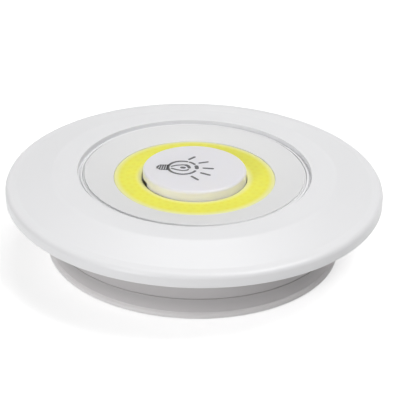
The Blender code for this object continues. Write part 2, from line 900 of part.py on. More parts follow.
def button_cap():
    """The push button: a cup with a stem, three snap hooks, a key and a window for the receiver."""
    under_top = button_top - button_top_thickness
    hook_seat = lamp_board_bottom - clearance
    skirt_bottom = hook_seat + clearance / 2
    profile = [(0, button_top)]
    profile += arc((button_radius - button_round, button_top - button_round),
                   (button_round, button_round), 90, 0, 4)
    profile += [(skirt_radius, skirt_bottom), (skirt_inner, skirt_bottom), (skirt_inner, under_top), (0, under_top)]
    cap = solid("button_cap", turned(profile, ring_steps), milky)
    hooks = [button_hook(angle, hook_seat, skirt_bottom) for angle in hook_angles]
    key = solid("key", moved(
        block((key_reach + button_wall / 2, key_width), skirt_bottom, lamp_board_top - clearance,
              (skirt_radius - button_wall / 2 + (key_reach + button_wall / 2) / 2, 0)),
        turn(key_angle)))
    stem_bottom = plunger_top + clearance
    stem = solid("stem", prism(circle(stem_radius, small_steps), stem_bottom, under_top + union_overlap))
    window = solid("window", prism(
        sector(skirt_inner - cut_overrun, skirt_radius + cut_overrun, receiver_angle, window_half_angle),
        skirt_bottom - cut_overrun, under_top - window_top_margin))
    return finish_round(cut(joined(cap, *hooks, key, stem), window))


def button_hook(angle, seat, skirt_bottom):
    """A leg below the skirt whose toe reaches under the lamp board, with a slope that lets it snap in."""
    leg_inner = skirt_inner + clearance / 2
    leg_outer = skirt_radius - clearance
    toe = board_hole + hook_out
    profile = [
        (leg_inner, seat - hook_thickness),
        (leg_outer, seat - hook_thickness),
        (toe, seat - hook_lip),
        (toe, seat),
        (leg_outer, seat),
        (leg_outer, skirt_bottom + union_overlap),
        (leg_inner, skirt_bottom + union_overlap),
    ]
    return solid("hook", swept(profile, angle, hook_half_angle))


def leads():
    """The four leads, from their contacts and the lamp board to the control board."""
    floor_z = deck_top + clearance + lead_radius
    mouth = skirt_radius + 2 * lead_radius
    start_x = contact_x - contact_thickness / 2 - clearance
    lamp_pad = board_hole + phosphor_width / 2
    for name, side, angle, colour in (
        ("battery_lead_positive", 1, 4.0, red),
        ("battery_lead_negative", -1, 173.0, black),
    ):
        run = [
            (side * start_x, side * cell_pitch, floor_z),
            (side * (start_x - contact_half_width), side * cell_pitch, floor_z),
            (*polar(mouth + contact_half_width / 2, angle), floor_z),
        ]
        tube(name, smooth_route(run + landing(angle, floor_z)), lead_radius, colour)
    for name, angle, colour in (("led_lead_positive", -14.0, red), ("led_lead_negative", -32.0, black)):
        run = [
            (*polar(lamp_pad, angle), lamp_board_bottom - clearance),
            (*polar(lamp_pad - 2 * lead_radius, angle), floor_z + lead_radius),
            (*polar(mouth, angle), floor_z),
        ]
        tube(name, smooth_route(run + landing(angle, floor_z)), lead_radius, colour)


def landing(angle, floor_z):
    """The last points of a lead: up inside the button's skirt, over the board's edge and down to its pad."""
    rise = (control_radius + skirt_inner) / 2
    over_z = parts_z + 2 * lead_radius
    return [
        (*polar(rise + lead_radius, angle), floor_z),
        (*polar(rise, angle), (floor_z + over_z) / 2),
        (*polar(control_radius - lead_radius, angle), over_z),
        (*polar(control_radius - 3 * lead_radius, angle), parts_z + lead_radius),
    ]


clear_scene()

white = plastic("white_moulding", (0.90, 0.90, 0.92), 0.35)
grey_white = plastic("back_moulding", (0.80, 0.79, 0.80), 0.45)
plate_white = plastic("plate_moulding", (0.75, 0.76, 0.78), 0.45)
milky = plastic("milky_moulding", (0.82, 0.81, 0.80), 0.40)
phosphor = plastic("phosphor_gel", (0.90, 0.88, 0.12), 0.55)
board_white = plastic("lamp_board_mask", (0.85, 0.85, 0.85), 0.50)
board_green = plastic("control_board_mask", (0.05, 0.25, 0.10), 0.50)
black = plastic("black_moulding", (0.02, 0.02, 0.02), 0.50)
tan = plastic("capacitor_ceramic", (0.45, 0.32, 0.20), 0.50)
nickel = plastic("nickel_plate", (0.75, 0.73, 0.70), 0.30, 1.0)
steel = plastic("screw_steel", (0.55, 0.55, 0.56), 0.35, 1.0)
wrap = plastic("cell_wrap", (0.10, 0.18, 0.35), 0.35)
foam = plastic("foam_pad", (0.85, 0.84, 0.80), 0.90)
red = plastic("red_insulation", (0.60, 0.03, 0.03), 0.50)

front_bezel()
drum_housing()
lamp_plate()
cob_board()
cob_phosphor()
button_cap()
control_board()
tact_switch()
tact_plunger()
microcontroller()
ir_receiver()
small_parts()
for index in range(3):
    cell(index)
    contact_spring(index)
contact("contact_positive", 1, (1,), 1)
contact("contact_negative", -1, (-1,), -1)
contact("contact_link_right", 1, (-1, 0))
contact("contact_link_left", -1, (0, 1))
for index in range(len(screw_angles)):
    housing_screw(index)
leads()
back_cover()
adhesive_pad()

print(f"across the rim {2000 * rim_radius:.2f} mm, drum {2000 * drum_radius:.2f} mm, high {1000 * button_top:.2f} mm")
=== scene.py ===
import math

import bmesh
import bpy
from mathutils import Matrix, Vector


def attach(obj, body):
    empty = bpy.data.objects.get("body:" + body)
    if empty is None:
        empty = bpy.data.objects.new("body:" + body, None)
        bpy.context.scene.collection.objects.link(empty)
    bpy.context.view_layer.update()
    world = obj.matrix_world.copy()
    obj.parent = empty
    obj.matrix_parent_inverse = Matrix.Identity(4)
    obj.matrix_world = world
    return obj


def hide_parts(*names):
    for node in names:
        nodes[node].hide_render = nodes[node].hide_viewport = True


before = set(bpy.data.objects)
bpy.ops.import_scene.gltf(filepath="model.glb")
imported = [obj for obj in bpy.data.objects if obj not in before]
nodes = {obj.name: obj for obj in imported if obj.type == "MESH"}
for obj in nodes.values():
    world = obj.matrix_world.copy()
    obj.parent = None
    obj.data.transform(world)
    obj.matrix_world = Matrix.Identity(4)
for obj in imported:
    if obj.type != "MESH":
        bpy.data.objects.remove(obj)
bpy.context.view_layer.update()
mm = 0.001

# %% [markdown]
# ## What is on the table
#
# A battery puck light, 90 mm across and 21 mm high, lies on its back. A wide white bezel surrounds
# a sunken plate, a yellow ring of LEDs under gel and a round push button. Under the bezel's rim is
# a narrower drum for the cells, closed by a cover that twists off.
#
# Nearly every piece is round, so most of them start as a profile: the outline of a cut through one
# side, as (radius, height) points. Moulded plastic has no knife-sharp corner, so each corner of a
# profile carries its own small radius, and that is what catches the light.

# %% Corners with a radius
side_share = 0.49


def softened(corners, closed=True, degrees_per_step=12.0):
    """The outline through (radius, height, corner radius) points, in mm, with an arc at each corner.

    An arc takes just under half of a side at most, so that two of them never meet.
    """
    outline = []
    last = len(corners) - 1
    for number, (across, up, corner_radius) in enumerate(corners):
        corner = Vector((across, up))
        if corner_radius == 0 or (not closed and number in (0, last)):
            outline.append(corner)
            continue
        to_before = Vector(corners[number - 1][:2]) - corner
        to_after = Vector(corners[(number + 1) % len(corners)][:2]) - corner
        half = to_before.angle(to_after) / 2
        room = side_share * min(to_before.length, to_after.length)
        reach = min(corner_radius / math.tan(half), room)
        bow = reach * math.tan(half)
        inwards = (to_before.normalized() + to_after.normalized()).normalized()
        middle = corner + inwards * bow / math.sin(half)
        start = corner + to_before.normalized() * reach - middle
        sweep = start.angle_signed(corner + to_after.normalized() * reach - middle)
        steps = max(2, math.ceil(abs(math.degrees(sweep)) / degrees_per_step))
        for step in range(steps + 1):
            turn_by = -sweep * step / steps
            cosine, sine = math.cos(turn_by), math.sin(turn_by)
            outline.append(middle + Vector((
                start.x * cosine - start.y * sine, start.x * sine + start.y * cosine)))
    return [(point.x, point.y) for point in outline]


def arc(middle, radii, first, last, steps):
    """Points of an arc from first to last degrees, with its own radius along each axis."""
    spread = [math.radians(first + (last - first) * step / steps) for step in range(steps + 1)]
    return [(middle[0] + radii[0] * math.cos(a), middle[1] + radii[1] * math.sin(a)) for a in spread]


def at_angle(radius, degrees):
    """The point at a radius and an angle."""
    return radius * math.cos(math.radians(degrees)), radius * math.sin(math.radians(degrees))


test_square = softened([(0, 0, 0.2), (2, 0, 0.2), (2, 2, 0.2), (0, 2, 0.2)])
print("a softened square has", len(test_square), "points, within",
      [round(min(x for x, _ in test_square), 3), round(max(x for x, _ in test_square), 3)])

# %% [markdown]
# ## From outlines to meshes
#
# A round piece could be a curve with a Screw modifier, but a spin in bmesh gives the mesh at once
# and merges its own seam. Straight-sided pieces, such as a rib, are prisms of an outline, and a
# piece of a ring, such as a hook, is an outline swept through part of a turn. The sweep is a loft
# through turned copies of the outline, and the same loft makes the tray's wall and the scoops. All
# of them work in mm, because drawings do, and `piece` scales them to metres at the end.

# %% Turned, raised and swept shapes
weld_distance = 0.0005
small_steps = 32


def turned(profile, steps=192):
    """A bmesh turned about Z. A profile that starts on the axis is closed there, any other is a ring."""
    shape = bmesh.new()
    points = [shape.verts.new((across, 0, up)) for across, up in profile]
    edges = [shape.edges.new(pair) for pair in zip(points, points[1:])]
    if profile[0][0] > 0:
        edges.append(shape.edges.new((points[-1], points[0])))
    bmesh.ops.spin(shape, geom=points + edges, cent=(0, 0, 0), axis=(0, 0, 1),
                   angle=math.tau, steps=steps, use_merge=True)
    bmesh.ops.remove_doubles(shape, verts=shape.verts, dist=weld_distance)
    return shape


def raised(outline, bottom, top):
    """A bmesh prism of an (x, y) outline."""
    shape = bmesh.new()
    base = shape.faces.new([shape.verts.new((x, y, bottom)) for x, y in outline])
    lifted = bmesh.ops.extrude_face_region(shape, geom=[base])["geom"]
    corners = [item for item in lifted if isinstance(item, bmesh.types.BMVert)]
    bmesh.ops.translate(shape, verts=corners, vec=(0, 0, top - bottom))
    return shape


def lofted(loops, capped=True):
    """A bmesh through loops of points, capped at both ends or led back to the first loop."""
    shape = bmesh.new()
    rings = [[shape.verts.new(point) for point in loop] for loop in loops]
    for near, far in zip(rings, rings[1:] if capped else rings[1:] + rings[:1]):
        for i in range(len(near)):
            shape.faces.new((near[i - 1], near[i], far[i], far[i - 1]))
    if capped:
        shape.faces.new(rings[0])
        shape.faces.new(rings[-1])
    return shape


def swept(profile, middle, half_angle, steps=12):
    """A bmesh of a closed (radius, height) outline, swept to both sides of an angle."""
    turns = [middle + half_angle * (2 * step / steps - 1) for step in range(steps + 1)]
    return lofted([[(*at_angle(across, degrees), up) for across, up in profile] for degrees in turns])


def placed(shape, x=0.0, y=0.0, degrees=0.0, axis="Z"):
    """The shape, turned about an axis and then moved along X and Y."""
    spot = Matrix.Translation((x, y, 0)) @ Matrix.Rotation(math.radians(degrees), 4, axis)
    bmesh.ops.transform(shape, matrix=spot, verts=shape.verts)
    return shape


def disc_outline(radius, steps=small_steps, middle=(0, 0)):
    """A full circle of points."""
    return arc(middle, (radius, radius), 0, 360, steps)[:-1]


def box_outline(half_length, half_width, corner_radius=0.0, middle=(0, 0), steps=6):
    """A rectangle of points, with an arc at each corner where the corners have a radius."""
    outline = []
    for quarter, (i, j) in enumerate(((1, 1), (-1, 1), (-1, -1), (1, -1))):
        spot = (middle[0] + i * (half_length - corner_radius), middle[1] + j * (half_width - corner_radius))
        if corner_radius:
            outline += arc(spot, (corner_radius, corner_radius), 90 * quarter, 90 * quarter + 90, steps)
        else:
            outline.append(spot)
    return outline


test_prism = raised(box_outline(2, 1, 0.5), 0, 1)
print("a prism with round corners has", len(test_prism.faces), "faces")
test_prism.free()

# %% One object from one or more shapes
def new_object(name, data):
    """An object with this data, in the scene."""
    made = bpy.data.objects.new(name, data)
    bpy.context.scene.collection.objects.link(made)
    return made


def piece(name, shapes):
    """An object whose mesh holds all the shapes, in metres, with every face turned outwards."""
    whole = bmesh.new()
    for shape in shapes:
        bmesh.ops.recalc_face_normals(shape, faces=shape.faces)
        part_mesh = bpy.data.meshes.new("part")
        shape.to_mesh(part_mesh)
        shape.free()
        whole.from_mesh(part_mesh)
        bpy.data.meshes.remove(part_mesh)
    bmesh.ops.scale(whole, verts=whole.verts, vec=(mm, mm, mm))
    mesh = bpy.data.meshes.new(name)
    whole.to_mesh(mesh)
    whole.free()
    return new_object(name, mesh)


def settled(made):
    """Keeps what the object's modifiers make as its plain mesh."""
    graph = bpy.context.evaluated_depsgraph_get()
    mesh = bpy.data.meshes.new_from_object(made.evaluated_get(graph))
    made.modifiers.clear()
    made.data = mesh


def carved(made, cutters):
    """The object less the cutters, which are used up."""
    tools = [piece(f"cutter_{number}", [shape]) for number, shape in enumerate(cutters)]
    for tool in tools:
        step = made.modifiers.new("Cut", "BOOLEAN")
        step.operation, step.solver, step.object = "DIFFERENCE", "EXACT", tool
    settled(made)
    for tool in tools:
        bpy.data.objects.remove(tool)
    return made


def finished(made, material, body, stands_for=(), crease=30.0):
    """Smooth faces, its material, the body that carries it and the nodes that it stands for."""
    made.data.materials.clear()
    made.data.materials.append(material)
    made.data.shade_smooth()
    made.data.set_sharp_from_angle(angle=math.radians(crease))
    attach(made, body)
    if stands_for:
        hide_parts(*stands_for)
    sides = [[vertex.co[i] / mm for vertex in made.data.vertices] for i in range(3)]
    print(made.name, "from", [round(min(side), 2) for side in sides],
          "to", [round(max(side), 2) for side in sides], len(made.data.polygons), "faces")


# %% [markdown]
# ## Finishes
#
# Every finish of the light is a Principled shader whose colour, roughness and bump come from noise in
# Object coordinates, so the pattern stays on the piece when it moves. Moulded plastic is almost even
# in colour: what gives it away is a slight change of gloss from place to place and a very fine grain.
# One helper builds that pattern at sizes given in mm, and each plastic is one call of it. A few
# shorter helpers keep the node trees readable.

# %% Adding nodes
def add(tree, kind, inputs=(), **settings):
    """A node with its settings. Each input is linked to a socket, or set to a value."""
    node = tree.nodes.new(kind)
    for name, value in settings.items():
        setattr(node, name, value)
    for socket, source in inputs:
        if isinstance(source, bpy.types.NodeSocket):
            tree.links.new(source, node.inputs[socket])
        else:
            node.inputs[socket].default_value = source
    return node


def maths(tree):
    """A short way to write a Math node of a tree."""
    def result(operation, *values):
        return add(tree, "ShaderNodeMath", enumerate(values), operation=operation).outputs[0]
    return result


def mapped(tree, value, start, end, to_start, to_end, way="LINEAR"):
    """A value brought from one range into another."""
    return add(tree, "ShaderNodeMapRange", [
        ("Value", value), ("From Min", start), ("From Max", end), ("To Min", to_start), ("To Max", to_end)],
        interpolation_type=way).outputs[0]


def object_place(tree):
    """A point's Object coordinates."""
    return add(tree, "ShaderNodeTexCoord").outputs["Object"]


def object_axes(tree):
    """A point's Object coordinates along X, Y and Z."""
    return add(tree, "ShaderNodeSeparateXYZ", [(0, object_place(tree))]).outputs


def painted_over(material, factor, colour):
    """Blends the colour that feeds the shader into another one by a factor."""
    tree = material.node_tree
    base = tree.nodes["Principled BSDF"].inputs["Base Color"]
    mix = add(tree, "ShaderNodeMix", [
        (0, factor), (6, base.links[0].from_socket), (7, (*colour, 1))], data_type="RGBA")
    tree.links.new(mix.outputs[2], base)


# %% A moulded finish
noise_low, noise_high = 0.3, 0.7
bump_strength = 0.5


def moulded(name, colour, roughness, tint=0.02, grain_mm=0.35, grain_depth=0.004,
            patch_mm=9.0, gloss_change=0.06, **fixed):
    """Plastic with a slow change of tint, patches of more and less gloss, and a fine grain."""
    material = bpy.data.materials.new(name)
    material.use_nodes = True
    tree = material.node_tree
    shader = tree.nodes["Principled BSDF"]
    for socket, value in fixed.items():
        shader.inputs[socket.replace("_", " ")].default_value = value
    place = object_place(tree)

    patches = add(tree, "ShaderNodeTexNoise", [
        ("Vector", place), ("Scale", 1 / (patch_mm * mm)), ("Detail", 4.0)]).outputs["Fac"]
    shades = add(tree, "ShaderNodeValToRGB", [("Fac", patches)])
    for stop, position, change in zip(shades.color_ramp.elements, (noise_low, noise_high), (-tint, tint)):
        stop.position = position
        stop.color = (*[min(1, c * (1 + change)) for c in colour], 1)
    tree.links.new(shades.outputs["Color"], shader.inputs["Base Color"])

    gloss = mapped(tree, patches, noise_low, noise_high, roughness - gloss_change, roughness + gloss_change)
    tree.links.new(gloss, shader.inputs["Roughness"])

    grain = add(tree, "ShaderNodeTexNoise", [
        ("Vector", place), ("Scale", 1 / (grain_mm * mm)), ("Detail", 2.0)])
    bump = add(tree, "ShaderNodeBump", [
        ("Strength", bump_strength), ("Distance", grain_depth * mm), ("Height", grain.outputs["Fac"])])
    tree.links.new(bump.outputs["Normal"], shader.inputs["Normal"])
    print("finish", name)
    return material


white_gloss = moulded("bezel_gloss_white", (0.850, 0.850, 0.862), 0.38, tint=0.004, patch_mm=14.0,
                      gloss_change=0.015, grain_depth=0.002, IOR=1.52)
# Painted shade: the drum is the same white plastic as the bezel, painted darker for the shade under the rim.
drum_painted_shade = moulded("drum_white_painted_shade", (0.54, 0.523, 0.527), 0.45, tint=0.012, grain_mm=0.25, IOR=1.52)
plate_frost = moulded("plate_frosted", (0.785, 0.785, 0.79), 0.50, tint=0.006, gloss_change=0.03, IOR=1.49)
button_milk = moulded("button_milky", (0.81, 0.80, 0.83), 0.38, tint=0.010, IOR=1.49,
                      Subsurface_Weight=0.60, Subsurface_Scale=1.2 * mm, Subsurface_Radius=(1.0, 0.95, 0.85))
switch_black = moulded("switch_black", (0.025, 0.024, 0.024), 0.45, tint=0.15)

# %% [markdown]
# ## The stage, the camera and the lamps
#
# The camera comes early, so that each new piece can be compared with the photograph. It looks along
# +Y from 28 degrees above the table, with a long lens, and it is turned just over a degree. Its
# distance and lens were worked out from the ellipses of the rim, the ring and the drum: the nearer a
# camera is, the larger the front of each ellipse grows against its back.

# %% Camera
camera_distance = 0.450
camera_height_angle = 28.1
camera_turn = 1.33
pixels_per_mm = 4.157
looked_at = Vector((0, 0, 0.010))
looked_at_pixel = (193.8, 208.8)
frame_pixels = 400

camera_data = bpy.data.cameras.new("photo_camera")
camera_data.sensor_width = 36.0
camera_data.lens = pixels_per_mm / mm * camera_distance * camera_data.sensor_width / frame_pixels
camera_data.shift_x = (frame_pixels / 2 - looked_at_pixel[0]) / frame_pixels
camera_data.shift_y = (looked_at_pixel[1] - frame_pixels / 2) / frame_pixels
camera_data.clip_start = 0.01
camera = new_object("photo_camera", camera_data)
tilt = math.radians(camera_height_angle)
back_along_view = Vector((0, -math.cos(tilt), math.sin(tilt)))
camera.location = looked_at + back_along_view * camera_distance
camera.rotation_euler = (back_along_view.to_track_quat("Z", "Y").to_matrix().to_4x4()
                         @ Matrix.Rotation(math.radians(camera_turn), 4, "Z")).to_euler()
bpy.context.scene.camera = camera
print("lens", round(camera_data.lens, 1), "mm, shift", round(camera_data.shift_x, 4),
      round(camera_data.shift_y, 4))

# %% [markdown]
# The photograph has a pure white ground. A ground lit up to white would flood the light's underside,
# so the floor is a pale grey that only camera, mirror and see-through rays find brighter: they get
# a glow on top of the grey. The object's soft shadow stays, because the grey still carries it. Far
# out, where the lamps no longer reach, the glow grows to white, so that a low view has no horizon.
# The sky is white to the same rays too, and sends only a faint, even light for the rest.

# %% Floor and sky
floor_reach, floor_top, floor_bottom = 3000, -0.02, -4
floor_grey, near_glow, far_glow = 0.78, 0.62, 1.0
glow_starts, glow_full = 400 * mm, 1600 * mm
sky_light = 0.10


def seen_directly(tree):
    """One for a ray from the camera, from a mirror or through glass, and nothing for the light itself."""
    rays = add(tree, "ShaderNodeLightPath").outputs
    math_of = maths(tree)
    camera_or_mirror = math_of("MAXIMUM", rays["Is Camera Ray"], rays["Is Glossy Ray"])
    return math_of("MAXIMUM", camera_or_mirror, rays["Is Transmission Ray"])


floor = piece("floor", [raised(box_outline(floor_reach, floor_reach), floor_bottom, floor_top)])
floor_finish = bpy.data.materials.new("floor_pale")
floor_finish.use_nodes = True
floor_tree = floor_finish.node_tree
floor_shader = floor_tree.nodes["Principled BSDF"]
floor_shader.inputs["Base Color"].default_value = (floor_grey, floor_grey, floor_grey, 1)
floor_shader.inputs["Roughness"].default_value = 0.9
floor_shader.inputs["Emission Color"].default_value = (1, 1, 1, 1)
from_middle = add(floor_tree, "ShaderNodeVectorMath", [(0, object_place(floor_tree))], operation="LENGTH")
glow = mapped(floor_tree, from_middle.outputs["Value"], glow_starts, glow_full, near_glow, far_glow)
floor_tree.links.new(maths(floor_tree)("MULTIPLY", seen_directly(floor_tree), glow),
                     floor_shader.inputs["Emission Strength"])
floor.data.materials.append(floor_finish)

world = bpy.data.worlds.new("studio")
bpy.context.scene.world = world
world.use_nodes = True
sky_tree = world.node_tree
sky = sky_tree.nodes["Background"]
sky.inputs["Color"].default_value = (1, 1, 1, 1)
sky_level = mapped(sky_tree, seen_directly(sky_tree), 0.0, 1.0, sky_light, 1.0)
sky_tree.links.new(sky_level, sky.inputs["Strength"])
print("floor", round(2 * floor_reach * mm, 1), "m across, and a white sky")


# %% Lamps
lamp_distance = 0.9


def soft_lamp(name, around_degrees, up_degrees, power, size):
    """A square area lamp, power in watts and size in metres, that faces the light from a direction."""
    data = bpy.data.lights.new(name, "AREA")
    data.shape = "SQUARE"
    data.size = size
    data.energy = power
    lamp = new_object(name, data)
    out, up = at_angle(lamp_distance, up_degrees)
    lamp.location = (*at_angle(out, around_degrees), up)
    lamp.rotation_euler = (lamp.location - looked_at).to_track_quat("Z", "Y").to_euler()
    lamp.visible_camera = False


soft_lamp("lamp_front_low", -127, 20, 3.2, 0.2)
soft_lamp("lamp_front_high", -40, 50, 0.6, 0.3)
soft_lamp("lamp_right_high", 0, 66, 3.7, 0.4)
soft_lamp("lamp_back_high", 90, 66, 1.75, 0.4)
bpy.context.scene.view_settings.view_transform = "Standard"
print("four soft lamps")

# %% [markdown]
# ## Node trees that the pieces share
#
# Two rules shape most of this light. A closed profile led round the axis makes its rings, and one
# small form copied at even steps round the axis makes its hooks, tabs, stops, posts and screws. Each
# rule is a Geometry Nodes tree built here once, with named inputs, and both end in real geometry
# with a material, because an export drops instances.

# %% Building and running a tree
def new_tree(name, sizes):
    """A tree with a geometry input and output, and a named input for each size."""
    tree = bpy.data.node_groups.new(name, "GeometryNodeTree")
    tree.interface.new_socket("Geometry", in_out="INPUT", socket_type="NodeSocketGeometry")
    for label, kind in [*sizes, ("Material", "NodeSocketMaterial")]:
        tree.interface.new_socket(label, in_out="INPUT", socket_type=kind)
    tree.interface.new_socket("Geometry", in_out="OUTPUT", socket_type="NodeSocketGeometry")
    return tree, tree.nodes.new("NodeGroupInput")


def close_tree(tree, entry, last):
    """Ends the tree in real geometry with its material."""
    real = add(tree, "GeometryNodeRealizeInstances", [("Geometry", last)])
    painted = add(tree, "GeometryNodeSetMaterial", [
        ("Geometry", real.outputs[0]), ("Material", entry.outputs["Material"])])
    add(tree, "NodeGroupOutput", [(0, painted.outputs[0])])


def grown(made, tree, values):
    """Runs the tree on the object with its inputs set, and keeps the result as a plain mesh."""
    step = made.modifiers.new(tree.name, "NODES")
    step.node_group = tree
    for item in tree.interface.items_tree:
        if item.in_out == "INPUT" and item.name in values:
            step[item.identifier] = values[item.name]
    made.update_tag()
    settled(made)


def shape_of(made):
    """The object's mesh as a bmesh in mm. The object is used up."""
    shape = bmesh.new()
    shape.from_mesh(made.data)
    bmesh.ops.scale(shape, verts=shape.verts, vec=(1 / mm, 1 / mm, 1 / mm))
    bpy.data.objects.remove(made)
    return shape


# %% Profile led round the axis
def ring_tree():
    """The tree that leads a closed profile round a circle."""
    tree, entry = new_tree("Profile round the axis", [
        ("Steps", "NodeSocketInt"), ("Path radius", "NodeSocketFloat")])
    outline = add(tree, "GeometryNodeMeshToCurve", [("Mesh", entry.outputs["Geometry"])])
    path = add(tree, "GeometryNodeCurvePrimitiveCircle", [
        ("Resolution", entry.outputs["Steps"]), ("Radius", entry.outputs["Path radius"])])
    skin = add(tree, "GeometryNodeCurveToMesh", [
        ("Curve", path.outputs["Curve"]), ("Profile Curve", outline.outputs["Curve"])])
    close_tree(tree, entry, skin.outputs[0])
    return tree


profile_round_axis = ring_tree()


def ring(profile, material, steps=256):
    """A bmesh of a closed profile led round the axis. The sweep points a profile's -Y up."""
    path_radius = sum(across for across, _ in profile) / len(profile)
    mesh = bpy.data.meshes.new("profile")
    points = [((across - path_radius) * mm, -up * mm, 0) for across, up in profile]
    mesh.from_pydata(points, [(i, (i + 1) % len(points)) for i in range(len(points))], [])
    made = new_object("profile", mesh)
    grown(made, profile_round_axis, {"Steps": steps, "Path radius": path_radius * mm, "Material": material})
    return shape_of(made)


test_ring = ring([(9, 0), (10, 0), (10, 1), (9, 1)], white_gloss, 64)
print("a ring of four corners and 64 steps has", len(test_ring.faces), "faces")
test_ring.free()


# %% Copies round the axis
def copies_tree():
    """The tree that copies a shape round Z at even steps."""
    tree, entry = new_tree("Copies round the axis", [
        ("Copies", "NodeSocketInt"), ("First angle", "NodeSocketFloat"), ("Step angle", "NodeSocketFloat")])
    one = add(tree, "GeometryNodeGeometryToInstance", [("Geometry", entry.outputs["Geometry"])])
    many = add(tree, "GeometryNodeDuplicateElements", [
        ("Geometry", one.outputs[0]), ("Amount", entry.outputs["Copies"])], domain="INSTANCE")
    angle = add(tree, "ShaderNodeMath", [
        (0, many.outputs["Duplicate Index"]), (1, entry.outputs["Step angle"]),
        (2, entry.outputs["First angle"])], operation="MULTIPLY_ADD")
    turn_by = add(tree, "ShaderNodeCombineXYZ", [("Z", angle.outputs[0])])
    spread = add(tree, "GeometryNodeRotateInstances", [
        ("Instances", many.outputs["Geometry"]), ("Rotation", turn_by.outputs[0]), ("Local Space", False)])
    close_tree(tree, entry, spread.outputs[0])
    return tree


copies_round_axis = copies_tree()


def around(shapes, copies, material, first=0.0, step=None):
    """A bmesh of the shapes copied round the axis, angles in degrees."""
    step = 360 / copies if step is None else step
    made = piece("one", shapes)
    grown(made, copies_round_axis, {"Copies": copies, "First angle": math.radians(first),
                                    "Step angle": math.radians(step), "Material": material})
    return shape_of(made)


test_hooks = around([raised(box_outline(1, 1, 0, (10, 0)), 0, 1)], 3, white_gloss)
print("three copies have", len(test_hooks.faces), "faces")
test_hooks.free()

# %% [markdown]
# ## Front bezel
#
# The bezel is the white ring that one sees first: a narrow ledge round the plate, a fine groove, a
# small crest, a nearly flat land, a soft crease, a shallow cone and a rim with a soft upper bend and
# an upright side. The groove and the gap round the plate read as the two thin lines at the mouth. It
# is the first use of the sweep. Four bosses for screws hang under the land, two by two, so a pair of
# them is copied to the other side.

# %% Bezel
screw_circle = 30.575
screw_angles = (55, 125)
every_screw_angle = (*screw_angles, *(angle + 180 for angle in screw_angles))
shank_radius, boss_radius = 0.9, 2.3
fit = 0.3

bezel_profile = softened([
    (26.70, 18.40, 0.00),
    (26.70, 19.64, 0.12),
    (27.22, 19.64, 0.12),
    (27.28, 18.95, 0.05),
    (27.76, 18.95, 0.05),
    (27.86, 20.40, 0.14),
    (33.90, 20.28, 2.50),
    (42.30, 17.66, 2.00),
    (45.00, 17.36, 1.30),
    (45.00, 14.30, 0.25),
    (43.20, 14.30, 0.20),
    (43.20, 16.28, 0.40),
    (34.30, 18.70, 2.00),
    (28.30, 18.40, 0.30),
], degrees_per_step=6.0)


def tube_wall(inner, outer, bottom, top, place, end_round=0.08):
    """An upright tube at a place, rounded at its lower end."""
    profile = softened([
        (inner, bottom, end_round), (outer, bottom, end_round), (outer, top, 0), (inner, top, 0)])
    return placed(turned(profile, small_steps), *place)


boss_pair = [tube_wall(shank_radius + fit, boss_radius, 14.4, 18.7, at_angle(screw_circle, angle))
             for angle in screw_angles]
front_bezel = piece("bezel", [ring(bezel_profile, white_gloss), around(boss_pair, 2, white_gloss)])
finished(front_bezel, white_gloss, "lamp_body", ["front_bezel"])

# %% [markdown]
# ## Dished plate
#
# A pale dish fills the bezel's mouth and throws the light forward. It falls a little over a
# millimetre towards the lamp in its hole, and has a lower flange that the bezel clamps, relieved where
# the bosses pass. Its outer edge is barely broken, with a shallow step outside it: the line round the
# plate.

# %% Plate
plate_profile = softened([
    (19.25, 18.70, 0.15),
    (26.22, 19.95, 0.10),
    (26.26, 19.50, 0.05),
    (26.60, 19.50, 0.08),
    (26.60, 18.10, 0.08),
    (28.40, 18.10, 0.08),
    (28.40, 16.90, 0.08),
    (25.80, 16.90, 0.08),
    (25.80, 18.85, 0.10),
    (19.25, 17.80, 0.10),
])
lamp_plate = piece("plate", [ring(plate_profile, plate_frost)])
reliefs = [raised(disc_outline(boss_radius + fit, middle=at_angle(screw_circle, angle)), 15.9, 18.4)
           for angle in every_screw_angle]
finished(carved(lamp_plate, reliefs), plate_frost, "lamp_body", ["lamp_plate"])

# %% [markdown]
# ## LED ring
#
# A chip-on-board lamp is a ring of tiny chips on a metal board, flooded with yellow gel. The gel is
# slightly proud in the middle, where it was poured, and thins out at its two edges. The chips are
# too small to model one by one, but they tint the gel: rows of faint warm spots, three of them clear
# of the pale edges. The shader works in polar coordinates, the angle times the number of chips for
# one axis and the radius over the pitch of the rows for the other.

# %% Gel finish
gel_inner, gel_outer = 12.62, 19.21
chips_round, rows_start, row_pitch = 48, 13.7, 1.5
spot_core, spot_edge, spot_share = 0.2, 0.75, 0.18
thin_width, thin_share = 1.8, 0.90


